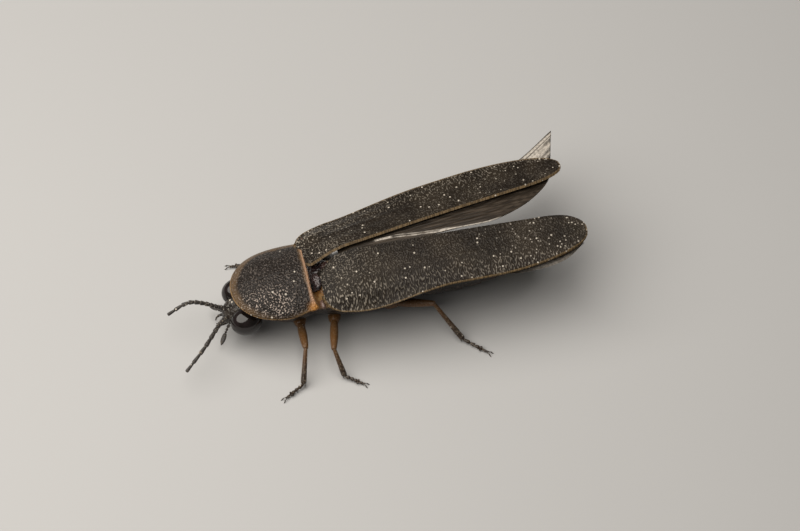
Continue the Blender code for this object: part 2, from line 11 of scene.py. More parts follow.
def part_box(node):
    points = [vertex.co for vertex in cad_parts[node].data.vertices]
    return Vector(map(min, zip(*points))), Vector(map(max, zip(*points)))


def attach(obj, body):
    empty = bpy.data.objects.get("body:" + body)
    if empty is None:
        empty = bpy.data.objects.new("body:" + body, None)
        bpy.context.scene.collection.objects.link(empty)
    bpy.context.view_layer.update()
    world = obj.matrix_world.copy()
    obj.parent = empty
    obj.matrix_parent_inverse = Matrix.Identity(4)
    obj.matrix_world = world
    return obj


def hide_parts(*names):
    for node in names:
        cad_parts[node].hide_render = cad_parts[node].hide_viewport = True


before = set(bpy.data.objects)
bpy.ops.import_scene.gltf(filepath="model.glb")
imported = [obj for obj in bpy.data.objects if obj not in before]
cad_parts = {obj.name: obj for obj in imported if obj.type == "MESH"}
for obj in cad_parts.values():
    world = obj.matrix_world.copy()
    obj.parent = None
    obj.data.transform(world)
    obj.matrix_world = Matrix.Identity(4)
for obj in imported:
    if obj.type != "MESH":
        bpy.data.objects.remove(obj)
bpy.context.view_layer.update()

# The trunk: the ringed body under the wings. It is dull dark brown shell in rings that overlap
# like roof tiles and meet in thin joint skin, one skin from the neck to the tail.
MM = 0.001
EYE_PLACE = Vector((0.62, -2.2, 1.05))
eye_low, eye_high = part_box("eye_left")
home = EYE_PLACE - (eye_low + eye_high) / 2 / MM

TRUNK_COLUMNS = 56
TRUNK_HALF_WIDTH = ((-1.47, 0.6), (-1.0, 0.82), (-0.4, 0.9), (0.0, 0.85), (0.3, 0.95), (0.9, 1.08),
                    (1.8, 1.12), (2.5, 1.04), (2.95, 0.9), (3.6, 0.96), (4.6, 1.0), (5.8, 0.94),
                    (6.8, 0.7), (7.3, 0.46), (7.55, 0.32))
TRUNK_UNDERSIDE = ((-1.47, 0.58), (-0.8, 0.48), (0.0, 0.54), (0.9, 0.44), (2.2, 0.42), (2.95, 0.54),
                   (4.5, 0.5), (6.0, 0.62), (7.0, 0.88), (7.55, 1.08))
TRUNK_TOP = ((-1.47, 1.36), (-1.0, 1.6), (-0.4, 1.74), (0.0, 1.72), (0.35, 1.98), (0.8, 2.04),
             (1.1, 1.9), (1.8, 1.74), (2.5, 1.66), (2.95, 1.56), (4.0, 1.6), (6.0, 1.54),
             (7.0, 1.46), (7.55, 1.34))
TRUNK_GROOVES = ((0.0, 0.07, 0.08), (1.08, 0.05, 0.05), (2.95, 0.06, 0.1))
BELLY_START, BELLY_END, BELLY_RINGS = 3.0, 7.5, 7
BELLY_LIP = 0.05
SKIN_START, SKIN_END = -0.1, 0.45
SKIN_CLEAR_OF_MIDDLE = 0.3
LAMP_START = 6.25


def blend(a, b, t):
    return a + (b - a) * t


def ease(x, low, high):
    """0 below low, 1 above high and a smooth step between."""
    t = min(max((x - low) / (high - low), 0.0), 1.0)
    return t * t * (3 - 2 * t)


def ridge(x, centre, half_width):
    """A rounded ridge of height 1 at centre, 0 from half_width outwards."""
    t = abs(x - centre) / half_width
    return (1 - t * t) ** 2 if t < 1 else 0.0


def curve(x, table):
    """A value read at x from a smooth curve through (x, value) stations."""
    last = len(table) - 1
    i = 0
    while i < last - 1 and x > table[i + 1][0]:
        i += 1
    (x0, v0), (x1, v1) = table[i], table[i + 1]
    before, after = table[max(i - 1, 0)], table[min(i + 2, last)]
    lean_in = (v1 - before[1]) / (x1 - before[0])
    lean_out = (after[1] - v0) / (after[0] - x0)
    span = x1 - x0
    t = min(max((x - x0) / span, 0.0), 1.0)
    rise = v0 + (v1 - v0) * t * t * (3 - 2 * t)
    return rise + span * t * (1 - t) * (lean_in * (1 - t) - lean_out * t)


def lay_grid(name, columns, rows, place, note=None):
    """A flat grid whose points are each put where the form wants them."""
    bpy.ops.object.select_all(action="DESELECT")
    bpy.ops.mesh.primitive_grid_add(x_subdivisions=columns, y_subdivisions=rows, size=1)
    piece = bpy.context.object
    piece.name = name
    lay = piece.data.attributes.new("lay", "FLOAT_VECTOR", "POINT")
    for vert, mark in zip(piece.data.vertices, lay.data):
        c = round((vert.co.x + 0.5) * columns)
        r = round((vert.co.y + 0.5) * rows)
        vert.co = place(c, r)
        mark.vector = note(c, r) if note else (c / columns, r / rows, 0.0)
    return piece


def close_form(piece, reach=0.0005):
    """Welds the seam and the poles of a rolled grid and turns its faces outwards."""
    bpy.ops.object.select_all(action="DESELECT")
    piece.select_set(True)
    bpy.context.view_layer.objects.active = piece
    bpy.ops.object.mode_set(mode="EDIT")
    bpy.ops.mesh.select_all(action="SELECT")
    bpy.ops.mesh.remove_doubles(threshold=reach)
    bpy.ops.mesh.normals_make_consistent(inside=False)
    bpy.ops.object.mode_set(mode="OBJECT")


def turn_over(piece):
    """Turns the faces of an open sheet to the other side."""
    bpy.ops.object.select_all(action="DESELECT")
    piece.select_set(True)
    bpy.context.view_layer.objects.active = piece
    bpy.ops.object.mode_set(mode="EDIT")
    bpy.ops.mesh.select_all(action="SELECT")
    bpy.ops.mesh.flip_normals()
    bpy.ops.object.mode_set(mode="OBJECT")


def add_and_apply(piece, kind, **settings):
    """Puts a modifier on a piece and applies it."""
    bpy.ops.object.select_all(action="DESELECT")
    piece.select_set(True)
    bpy.context.view_layer.objects.active = piece
    shaper = piece.modifiers.new(kind.lower(), kind)
    for word, value in settings.items():
        setattr(shaper, word, value)
    bpy.ops.object.modifier_apply(modifier=shaper.name)


def settle(piece, materials, nodes):
    """Scales a finished piece into the frame, gives it its materials and hangs it on the root, hiding the
    solids that it stands for.
    """
    piece.data.transform(Matrix.Scale(MM, 4) @ Matrix.Translation(-home))
    piece.data.materials.clear()
    for material in materials:
        piece.data.materials.append(material)
    piece.data.shade_smooth()
    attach(piece, "root")
    if nodes:
        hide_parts(*nodes)


trunk_rows = [(-1.5, 0.0), (-1.5, 0.5), (-1.49, 0.85)]
trunk_rows += [(blend(-1.47, 0.0, i / 16), 1.0) for i in range(17)]
trunk_rows += [(blend(0.02, 2.93, i / 30), 1.0) for i in range(31)]
for ring in range(BELLY_RINGS):
    for share in (0.0, 0.05, 0.16, 0.35, 0.6, 0.85, 0.95, 0.99):
        trunk_rows.append((blend(BELLY_START, BELLY_END, (ring + share) / BELLY_RINGS), 1.0))
trunk_rows += [(7.53, 0.85), (7.56, 0.5), (7.57, 0.0)]


def trunk_point(c, r):
    """A point round the trunk: a rounded section whose belly rings overlap backwards."""
    y, shrink = trunk_rows[r]
    wide, low, high = (curve(y, table) for table in (TRUNK_HALF_WIDTH, TRUNK_UNDERSIDE, TRUNK_TOP))
    for groove, half, depth in TRUNK_GROOVES:
        shrink *= 1 - depth * ridge(y, groove, half)
    lip = 0.0
    if y >= BELLY_START:
        share = (y - BELLY_START) / (BELLY_END - BELLY_START) * BELLY_RINGS % 1
        lip = BELLY_LIP * ease(share, 0.0, 0.5) * (1 - ease(share, 0.96, 1.0))
    angle = 2 * math.pi * c / TRUNK_COLUMNS
    across, rise = math.cos(angle), math.sin(angle)
    x = (wide + lip) * shrink * math.copysign(abs(across) ** 0.85, across)
    z = (high - low) / 2 * math.copysign(abs(rise) ** 0.85, rise) + lip * rise
    return Vector((x, y, (low + high) / 2 + z * shrink))


class Wire:
    """A socket whose value varies over a surface. Sums on it add Math nodes."""

    def __init__(self, tree, socket):
        self.tree = tree
        self.socket = socket

    def node(self, kind, settings, sockets, out=0):
        """Adds any other node: its settings first, then what feeds its sockets."""
        node = self.tree.nodes.new(kind)
        for word, value in settings.items():
            setattr(node, word, value)
        for key, value in sockets.items():
            socket = node.inputs[key]
            if isinstance(value, Wire):
                self.tree.links.new(value.socket, socket)
            elif socket.type == "RGBA":
                socket.default_value = (*value, 1.0)
            else:
                socket.default_value = value
        return Wire(self.tree, node.outputs[out])

    def sum(self, operation, first, second):
        return self.node("ShaderNodeMath", {"operation": operation}, {0: first, 1: second})

    def __add__(self, other):
        return self.sum("ADD", self, other)

    def __sub__(self, other):
        return self.sum("SUBTRACT", self, other)

    def __rsub__(self, other):
        return self.sum("SUBTRACT", other, self)

    def __mul__(self, other):
        return self.sum("MULTIPLY", self, other)

    __radd__ = __add__
    __rmul__ = __mul__

    def step(self, low, high):
        """0 at low, 1 at high and a smooth step between."""
        return self.node("ShaderNodeMapRange", {"interpolation_type": "SMOOTHSTEP"},
                         {"Value": self, "From Min": low, "From Max": high})

    def tint(self, first, second):
        """The first colour where this is 0, the second where it is 1."""
        return self.node("ShaderNodeMix", {"data_type": "RGBA"}, {0: self, 6: first, 7: second}, 2)

    def part(self, axis):
        return self.node("ShaderNodeSeparateXYZ", {}, {"Vector": self}, "XYZ".index(axis))

    def stretch(self, x, y, z):
        """The same coordinates, packed closer along each axis."""
        return self.node("ShaderNodeVectorMath", {"operation": "MULTIPLY"}, {0: self, 1: (x, y, z)})

    def noise(self, per_mm, detail=2.0, out=0):
        return self.node("ShaderNodeTexNoise", {}, {"Vector": self, "Scale": per_mm, "Detail": detail}, out)

    def cells(self, per_mm, out=0):
        """Distance to the middle of the nearest of many small cells, or a colour for each cell."""
        return self.node("ShaderNodeTexVoronoi", {}, {"Vector": self, "Scale": per_mm}, out)

    def warp(self, per_mm, reach):
        """The same coordinates, pushed about by a soft noise."""
        return self.node("ShaderNodeVectorMath", {"operation": "MULTIPLY_ADD"},
                         {0: self.noise(per_mm, 1.0, 1), 1: (reach, reach, reach), 2: self})

    def specks(self, per_mm, reach, share):
        """Small round grains, one in some of the cells of a loose net."""
        chosen = self.cells(per_mm, 1).part("X")
        return self.cells(per_mm).step(reach, reach * 0.6) * chosen.step(1 - share, 1.03 - share)

    def relief(self, depth):
        """Surface normals for a relief of this height, depth millimetres deep."""
        return self.node("ShaderNodeBump", {}, {"Height": self, "Distance": depth * MM, "Strength": 1.0})


def start_finish(name, fixed):
    """A material's shader, its own surface coordinates and the marks laid on its mesh."""
    material = bpy.data.materials.new(name)
    material.use_nodes = True
    tree = material.node_tree
    shader = tree.nodes["Principled BSDF"]
    for socket, value in fixed.items():
        shader.inputs[socket].default_value = value
    place = Wire(tree, tree.nodes.new("ShaderNodeTexCoord").outputs["Object"])
    place = place.stretch(1 / MM, 1 / MM, 1 / MM)
    lay = place.node("ShaderNodeAttribute", {"attribute_name": "lay"}, {}, 1)
    return material, shader, place, lay


def feed(shader, **wires):
    """Joins what varies over the surface to the shader's sockets."""
    for word, wire in wires.items():
        wire.tree.links.new(wire.socket, shader.inputs[word.replace("_", " ")])


SHELL_BLACK = (0.011, 0.0085, 0.007)
SHELL_BROWN = (0.045, 0.028, 0.017)
LAMP_PALE = (0.32, 0.28, 0.16)
SKIN_ORANGE = (0.22, 0.095, 0.022)
SKIN_PALE = (0.42, 0.25, 0.1)

trunk_finish, shader, place, lay = start_finish("belly shell", {"Specular IOR Level": 0.5})
mottle = place.noise(2.5, 4.0).step(0.35, 0.7)
joint_skin, lamp = lay.part("X"), lay.part("Z")
grain = place.noise(16.0, 1.0)
hair = place.stretch(1.0, 0.35, 1.0).noise(20.0, 1.0).step(0.6, 0.72)
colour = mottle.tint(SHELL_BLACK, SHELL_BROWN)
colour = (0.3 * hair).tint(colour, (0.3, 0.24, 0.17))
colour = lamp.tint(colour, LAMP_PALE)
colour = joint_skin.tint(colour, place.noise(5.0, 3.0).step(0.4, 0.7).tint(SKIN_ORANGE, SKIN_PALE))
feed(shader, Base_Color=colour, Roughness=0.3 + 0.2 * mottle,
     Normal=(grain + 0.4 * hair + 0.6 * joint_skin * place.noise(8.0)).relief(0.02))


def trunk_note(c, r):
    """Marks the soft skin behind the neck shield and the pale light patch under the tail."""
    spot = trunk_point(c, r)
    low, high = curve(spot.y, TRUNK_UNDERSIDE), curve(spot.y, TRUNK_TOP)
    under = 1 - ease(spot.z, low, low + 0.25)
    skin = ease(spot.y, SKIN_START - 0.04, SKIN_START + 0.04)
    skin *= 1 - ease(spot.y, SKIN_END - 0.05, SKIN_END + 0.05)
    skin *= ease(spot.z, blend(low, high, 0.5), blend(low, high, 0.62))
    skin *= ease(abs(spot.x), SKIN_CLEAR_OF_MIDDLE, SKIN_CLEAR_OF_MIDDLE + 0.08)
    return (skin, 0.0, under * ease(spot.y, LAMP_START, LAMP_START + 0.07))


trunk = lay_grid("trunk", TRUNK_COLUMNS, len(trunk_rows) - 1, trunk_point, trunk_note)
close_form(trunk)
settle(trunk, [trunk_finish], ["front_thorax", "thorax", "abdomen"])

# The head: a small black box between the eyes, with a pair of hooked jaws below and a raised
# ring where each feeler is let in. It is pushed back under the neck shield up to the eyes.
HEAD_COLUMNS = 40
HEAD_HALF_WIDTH = ((-2.84, 0.16), (-2.72, 0.32), (-2.5, 0.42), (-2.2, 0.46), (-1.9, 0.54), (-1.57, 0.5))
HEAD_UNDERSIDE = ((-2.84, 0.66), (-2.72, 0.56), (-2.5, 0.48), (-2.2, 0.46), (-1.9, 0.5), (-1.57, 0.58))
HEAD_TOP = ((-2.84, 0.96), (-2.72, 1.16), (-2.5, 1.34), (-2.2, 1.42), (-1.9, 1.46), (-1.57, 1.42))
JAW_ROUTE = ((0.17, -2.7, 0.66), (0.2, -2.92, 0.6), (0.17, -3.02, 0.57), (0.06, -3.08, 0.55))
SOCKET_PLACE = (0.17, -2.74, 0.93)

head_rows = [(-2.86, 0.0), (-2.86, 0.5), (-2.85, 0.85)]
head_rows += [(blend(-2.83, -1.57, i / 26), 1.0) for i in range(27)]
head_rows += [(-1.45, 0.95), (-1.36, 0.8), (-1.34, 0.0)]


def head_point(c, r):
    """A point round the head, slightly sunk between the eyes."""
    y, shrink = head_rows[r]
    wide, low, high = (curve(y, table) for table in (HEAD_HALF_WIDTH, HEAD_UNDERSIDE, HEAD_TOP))
    angle = 2 * math.pi * c / HEAD_COLUMNS
    across, rise = math.cos(angle), math.sin(angle)
    x = wide * shrink * math.copysign(abs(across) ** 0.85, across)
    z = (high - low) / 2 * math.copysign(abs(rise) ** 0.85, rise)
    sunk = 0.07 * ridge(x, 0.0, 0.25) * max(rise, 0.0) * ease(y, -2.9, -2.6)
    return Vector((x, y, (low + high) / 2 + z * shrink - sunk))


def turn_joint(name, profile, sides):
    """A limb joint one unit long, stood on end: a cylinder cut in loops, each drawn in or out."""
    bpy.ops.object.select_all(action="DESELECT")
    bpy.ops.mesh.primitive_cylinder_add(vertices=sides, radius=1, depth=1, location=(0, 0, 0.5),
                                        end_fill_type="TRIFAN")
    piece = bpy.context.object
    piece.name = name
    bpy.ops.object.transform_apply(location=True)
    bpy.ops.object.mode_set(mode="EDIT")
    for height, _ in profile[1:-1]:
        bpy.ops.mesh.select_all(action="SELECT")
        bpy.ops.mesh.bisect(plane_co=(0, 0, height), plane_no=(0, 0, 1))
    bpy.ops.object.mode_set(mode="OBJECT")
    for vert in piece.data.vertices:
        radius = min(profile, key=lambda loop: abs(loop[0] - vert.co.z))[1]
        vert.co.x *= radius
        vert.co.y *= radius
    lay = piece.data.attributes.new("lay", "FLOAT_VECTOR", "POINT")
    for vert, mark in zip(piece.data.vertices, lay.data):
        mark.vector = (0.0, vert.co.z, 0.0)
    add_and_apply(piece, "SUBSURF", levels=1, render_levels=1)
    return piece


def set_joint(master, start, end, girth, share=(0.0, 1.0), flatten=1.0):
    """A copy of a joint, set between two points at a girth, marked with its share of the limb."""
    joint = master.copy()
    joint.data = master.data.copy()
    bpy.context.collection.objects.link(joint)
    for mark in joint.data.attributes["lay"].data:
        along = mark.vector.y
        mark.vector = (blend(share[0], share[1], along), along, 0.0)
    run = end - start
    turned = run.to_track_quat("Z", "Y").to_matrix().to_4x4()
    size = Matrix.Diagonal((girth * flatten, girth / flatten, run.length, 1.0))
    joint.data.transform(Matrix.Translation(start) @ turned @ size)
    return joint


def join_pieces(name, pieces):
    """Makes one object of several and gives it a name."""
    bpy.ops.object.select_all(action="DESELECT")
    for piece in pieces:
        piece.select_set(True)
    bpy.context.view_layer.objects.active = pieces[0]
    bpy.ops.object.join()
    joined = bpy.context.object
    joined.name = name
    return joined


def drop(piece):
    bpy.data.objects.remove(piece, do_unlink=True)


DUST = (0.52, 0.47, 0.4)

head_finish, shader, place, lay = start_finish("black shell", {"Specular IOR Level": 0.3})
mottle = place.noise(5.0, 3.0).step(0.35, 0.7)
grain = place.noise(15.0, 1.0)
# Pale marks on the grains' tops: partly pale grains, partly painted glints standing in for their
# highlights.
pale_grain_and_painted_glint = grain.step(0.58, 0.7)
dust = place.specks(7.0, 0.3, 0.35)
colour = mottle.tint(SHELL_BLACK, (0.03, 0.022, 0.016))
colour = (0.5 * pale_grain_and_painted_glint).tint(colour, (0.2, 0.19, 0.17))
feed(shader, Base_Color=dust.tint(colour, DUST), Roughness=0.22 + 0.15 * mottle + 0.5 * dust,
     Normal=(grain + 0.5 * dust).relief(0.03))

skull = lay_grid("skull", HEAD_COLUMNS, len(head_rows) - 1, head_point)
close_form(skull)
jaw_joint = turn_joint("jaw_joint", ((0, 0.9), (0.1, 1.0), (0.5, 0.95), (0.9, 0.8), (1, 0.7)), 12)
head_pieces = [skull]
for side in (1, -1):
    stops = [Vector((side * x, y, z)) for x, y, z in JAW_ROUTE]
    for i, girth in enumerate((0.055, 0.045, 0.025)):
        head_pieces.append(set_joint(jaw_joint, stops[i], stops[i + 1], girth))
    bpy.ops.object.select_all(action="DESELECT")
    bpy.ops.mesh.primitive_torus_add(location=(side * SOCKET_PLACE[0], SOCKET_PLACE[1], SOCKET_PLACE[2]),
                                     rotation=(math.radians(80), 0, side * math.radians(25)),
                                     major_radius=0.105, minor_radius=0.026,
                                     major_segments=28, minor_segments=10)
    ring = bpy.context.object
    bpy.ops.object.transform_apply(location=True, rotation=True)
    head_pieces.append(ring)
drop(jaw_joint)
head = join_pieces("head_shell", head_pieces)
settle(head, [head_finish], ["head"])

# The eyes: two great glossy black balls that nearly fill the head, as a male of this kind has.
# Each is one smooth window of hundreds of tiny facets, let into the side of the head.
EYE_RADIUS = 0.45
EYE_HALF_LENGTH = 0.52
FACETS_PER_MM = 42.0
EYE_BLACK = (0.007, 0.005, 0.004)
EYE_PAINTED_SHEEN = (0.013, 0.009, 0.009)

eye_finish, shader, place, lay = start_finish("eye", {"Specular IOR Level": 0.5})
facets = place.cells(FACETS_PER_MM)
# The eye's faint purple sheen is painted into the black in soft random patches.
feed(shader, Base_Color=place.noise(3.0).step(0.4, 0.65).tint(EYE_BLACK, EYE_PAINTED_SHEEN),
     Roughness=0.05 + 0.05 * place.noise(9.0), Normal=(1 - facets.step(0.0, 0.6)).relief(0.0004))

for word, side in (("left", 1), ("right", -1)):
    bpy.ops.object.select_all(action="DESELECT")
    bpy.ops.mesh.primitive_uv_sphere_add(segments=64, ring_count=40, radius=EYE_RADIUS,
                                         location=(side * EYE_PLACE.x, EYE_PLACE.y, EYE_PLACE.z))
    bpy.ops.transform.resize(value=(1.0, EYE_HALF_LENGTH / EYE_RADIUS, 1.0))
    bpy.ops.object.transform_apply(location=True, scale=True)
    eye = bpy.context.object
    eye.name = "eyeball_" + word
    settle(eye, [eye_finish], ["eye_" + word])

# The feelers: eleven joints each, a long first one, a short second and nine like flowerpots
# set in one another. They are dull brown-black, hazed with short pale hairs.
FEELER_ROUTES = {
    "left": ((0.19, -2.74, 0.92), (0.37, -2.95, 1.0), (0.66, -3.2, 1.05), (1.27, -3.74, 1.0),
             (1.9, -4.5, 0.8)),
    "right": ((-0.19, -2.74, 0.92), (-0.24, -3.02, 1.05), (-0.36, -3.4, 1.2), (-0.46, -3.9, 1.26),
              (-0.35, -4.58, 1.0)),
}
FEELER_JOINTS = (0.13, 0.055) + (0.0905,) * 9
FEELER_GIRTH = ((0, 0.085), (0.15, 0.078), (0.6, 0.074), (1, 0.05))
FEELER_DARK = (0.014, 0.01, 0.008)
FEELER_DUST = (0.26, 0.21, 0.15)


def smooth_route(points, place):
    """The point at a share of the way along a smooth curve through a few points."""
    ends = [points[0] * 2 - points[1]] + points + [points[-1] * 2 - points[-2]]
    way = place * (len(points) - 1)
    i = min(int(way), len(points) - 2)
    t = way - i
    a, b, c, d = ends[i:i + 4]
    return 0.5 * (2 * b + (c - a) * t + (2 * a - 5 * b + 4 * c - d) * t * t
                  + (3 * b - a - 3 * c + d) * t ** 3)


feeler_finish, shader, place, lay = start_finish("feeler", {"Sheen Weight": 0.15})
hair = place.noise(24.0, 1.0).step(0.55, 0.68)
tip_dust = lay.part("Y").step(0.7, 0.98)
colour = (hair * (0.4 + 0.5 * tip_dust)).tint(FEELER_DARK, FEELER_DUST)
feed(shader, Base_Color=place.specks(9.0, 0.3, 0.3).tint(colour, DUST), Roughness=0.4 + 0.3 * hair,
     Normal=hair.relief(0.012))

feeler_joint = turn_joint("feeler_joint", ((0, 0.6), (0.05, 0.74), (0.25, 0.86), (0.7, 1.02), (0.9, 1.08),
                                           (0.98, 0.92), (1, 0.7)), 18)
for word, route in FEELER_ROUTES.items():
    points = [Vector(p) for p in route]
    at = 0.0
    joints = []
    for length in FEELER_JOINTS:
        start, end = smooth_route(points, at), smooth_route(points, min(at + length * 1.02, 1.0))
        joints.append(set_joint(feeler_joint, start, end, curve(at, FEELER_GIRTH), (at, at + length)))
        at += length
    feeler = join_pieces("feeler_joints_" + word, joints)
    settle(feeler, [feeler_finish], ["feeler_" + word])
drop(feeler_joint)

# The mouth feelers: short four-jointed palps that hang beside the jaws. The last joint is a
# flat dark blade, and the others are small and round.
PALP_ROUTE = ((0.25, -2.7, 0.6), (0.36, -2.79, 0.56), (0.44, -2.85, 0.53), (0.5, -2.89, 0.51),
              (0.84, -3.12, 0.38))
PALP_GIRTHS = (0.055, 0.05, 0.05, 0.068)

palp_joint = turn_joint("palp_joint", ((0, 0.5), (0.08, 0.72), (0.35, 1.0), (0.65, 0.92), (0.88, 0.5),
                                       (1, 0.12)), 14)
for word, side in (("left", 1), ("right", -1)):
    stops = [Vector((side * x, y, z)) for x, y, z in PALP_ROUTE]
    joints = []
    for i, girth in enumerate(PALP_GIRTHS):
        flat = 1.3 if i == len(PALP_GIRTHS) - 1 else 1.0
        joints.append(set_joint(palp_joint, stops[i], stops[i + 1], girth, (0, 0.5), flat))
    palp = join_pieces("palp_joints_" + word, joints)
    settle(palp, [feeler_finish], ["palp_" + word])
drop(palp_joint)

# The neck shield: a thin hood over the head, of one plate. Its middle is domed, black and
# finely grained, and its flat margins are thin clear brown shell with a rolled rim.
SHIELD_LENGTH = 2.52
SHIELD_HALF_WIDTH = 1.5
SHIELD_REAR_HALF_WIDTH = 1.37
SHIELD_YAW = math.radians(-3.5)
SHIELD_REAR_EDGE = 1.87
SHIELD_FRONT_DROP = 0.15
SHIELD_SIDE_DROP = 0.15
SHIELD_HIND_LOBE = 0.17
SHIELD_DOME = 0.46
SHIELD_HOLLOW, SHIELD_HOLLOW_DEPTH = (0.95, -0.85, 0.4), 0.05
SHIELD_SWELLING, SHIELD_SWELLING_HEIGHT = (0.7, -1.6, 0.5), 0.03
SHIELD_MARGIN = 0.1
SHIELD_KEEL, SHIELD_LIP = 0.025, 0.035
SHIELD_CENTRE_Y = -1.1
SHIELD_THICKNESS = 0.08
SHIELD_TURNS, SHIELD_BANDS = 176, 40
SHIELD_BLACK = (0.011, 0.0078, 0.0058)
SHIELD_BROWN = (0.055, 0.033, 0.018)
SHIELD_RIM = (0.24, 0.15, 0.07)
SHIELD_REAR_PINK = (0.34, 0.2, 0.12)
SHIELD_CORNER = (0.36, 0.16, 0.035)
# Colour of the pale grain marks and of the painted sheen on the near front of the dome.
SHIELD_PALE_GRAIN_AND_SHEEN = (0.36, 0.3, 0.26)


def shield_outline(turn):
    """The neck shield's outline: a round front, and a straight back edge with small hind lobes."""
    if turn < 0.7:
        angle = math.pi * (turn / 0.7 - 0.5)
        y = blend(SHIELD_HIND_LOBE, -SHIELD_LENGTH, math.cos(angle) ** 0.6)
        half = blend(SHIELD_REAR_HALF_WIDTH, SHIELD_HALF_WIDTH, ease(-y, 0.0, 0.9))
        return half * math.sin(angle), y
    x = SHIELD_REAR_HALF_WIDTH * (1 - 2 * (turn - 0.7) / 0.3)
    return x, SHIELD_HIND_LOBE * abs(x / SHIELD_REAR_HALF_WIDTH) ** 5


def shield_place(c, r):
    """Where a point of the shield lies, seen from above, before it is turned."""
    band = math.sin(math.pi / 2 * r / SHIELD_BANDS)
    x, y = shield_outline(c / SHIELD_TURNS % 1)
    return x * band, SHIELD_CENTRE_Y + (y - SHIELD_CENTRE_Y) * band


def shield_point(c, r):
    """A point of the shield's upper face: a dome inside a flat margin with a raised rim."""
    x, y = shield_place(c, r)
    back = min(max(-y / SHIELD_LENGTH, 0.0), 1.0)
    wide = abs(x / SHIELD_HALF_WIDTH) ** 2
    inside = max(1 - wide - back ** 3.3, 0.0)
    z = SHIELD_REAR_EDGE - SHIELD_FRONT_DROP * back ** 1.3 - SHIELD_SIDE_DROP * wide
    z += SHIELD_DOME * max((inside - SHIELD_MARGIN) / (1 - SHIELD_MARGIN), 0.0) ** 0.8
    z += SHIELD_KEEL * ridge(x, 0.0, 0.07) * ease(back, 0.02, 0.2) * (1 - ease(back, 0.7, 0.95))
    hollow_x, hollow_y, hollow_reach = SHIELD_HOLLOW
    swelling_x, swelling_y, swelling_reach = SHIELD_SWELLING
    from_hollow = math.hypot(abs(x) - hollow_x, 1.3 * (y - hollow_y))
    z -= SHIELD_HOLLOW_DEPTH * ridge(from_hollow, 0.0, hollow_reach)
    from_swelling = math.hypot(abs(x) - swelling_x, y - swelling_y)
    z += SHIELD_SWELLING_HEIGHT * ridge(from_swelling, 0.0, swelling_reach)
    z += SHIELD_LIP * ease(r / SHIELD_BANDS, 0.86, 1.0)
    return Matrix.Rotation(SHIELD_YAW, 3, "Z") @ Vector((x, y, z))


def shield_note(c, r):
    """Marks how far a point is from the rim, how far forward it is and which side it is on."""
    x, y = shield_place(c, r)
    rim_x, rim_y = shield_outline(c / SHIELD_TURNS % 1)
    return (math.hypot(rim_x - x, rim_y - y), -y / SHIELD_LENGTH, x / SHIELD_HALF_WIDTH)


shield_finish, shader, place, lay = start_finish("neck shield", {"Specular IOR Level": 0.2})
rim_distance, forward, sideways = lay.part("X"), lay.part("Y"), lay.part("Z")
cloud = place.noise(1.6, 3.0)
grain = place.warp(5.0, 0.05).noise(19.0, 0.6)
# Pale marks on the grains: partly pale grains, partly painted glints.
pale_grain_and_painted_glint = grain.step(0.54, 0.68)
margin = (rim_distance + 0.3 * (cloud - 0.5) - 0.15 * forward * forward + 0.12 * sideways).step(0.26, 0.02)
rim = (rim_distance + 0.05 * (place.noise(7.0) - 0.5)).step(0.08, 0.03)
rear = forward.step(0.055, 0.01)
corner = (sideways * sideways).step(0.5, 0.75) * forward.step(0.12, 0.0)
# Painted sheen: the pale grain marks are painted brighter on the near front slope of the dome, where the
# light's reflection falls.
painted_sheen = sideways.step(0.15, 0.55) * rim_distance.step(0.05, 0.25) * forward.step(0.15, 0.4)
colour = (margin * place.noise(5.0, 3.0)).tint(SHIELD_BLACK, SHIELD_RIM)
colour = (0.6 * margin).tint(colour, SHIELD_BROWN)
colour = (0.75 * rim).tint(colour, SHIELD_RIM)
colour = rear.tint(colour, SHIELD_REAR_PINK)
colour = corner.tint(colour, SHIELD_CORNER)
colour = (pale_grain_and_painted_glint * (0.2 + 0.8 * painted_sheen)).tint(colour, SHIELD_PALE_GRAIN_AND_SHEEN)
colour = place.specks(6.0, 0.25, 0.12).tint(colour, DUST)
feed(shader, Base_Color=colour, Roughness=0.3 + 0.12 * cloud, Normal=grain.relief(0.045))

shield = lay_grid("shield_plate", SHIELD_TURNS, SHIELD_BANDS, shield_point, shield_note)
close_form(shield)
add_and_apply(shield, "SOLIDIFY", thickness=SHIELD_THICKNESS, offset=-1.0)
settle(shield, [shield_finish], ["neck_shield"])

# The scutellum: the small pointed plate between the roots of the wing cases, with the roof of
# the middle body in front of it. It is glossy black, coarsely pitted and dusty at its tip.
SCUTELLUM_HALF_WIDTH = ((0.02, 0.6), (0.25, 0.66), (0.42, 0.44), (0.6, 0.3), (0.95, 0.03))
SCUTELLUM_TOP = ((0.02, 1.95), (0.15, 2.1), (0.34, 2.16), (0.6, 2.32), (0.95, 2.42))
SCUTELLUM_ARCH, SCUTELLUM_GROOVE, SCUTELLUM_THICKNESS = 0.14, 0.06, 0.25
SCUTELLUM_COLUMNS, SCUTELLUM_ROWS = 30, 40


def scutellum_point(c, r):
    """A point of the small plate, which has a groove across it and narrows to a blunt tip."""
    y = blend(0.02, 0.95, r / SCUTELLUM_ROWS)
    across = 2 * c / SCUTELLUM_COLUMNS - 1
    z = curve(y, SCUTELLUM_TOP) - SCUTELLUM_ARCH * across ** 2
    z -= SCUTELLUM_GROOVE * ridge(y, 0.42, 0.07)
    return Vector((curve(y, SCUTELLUM_HALF_WIDTH) * across, y, z))


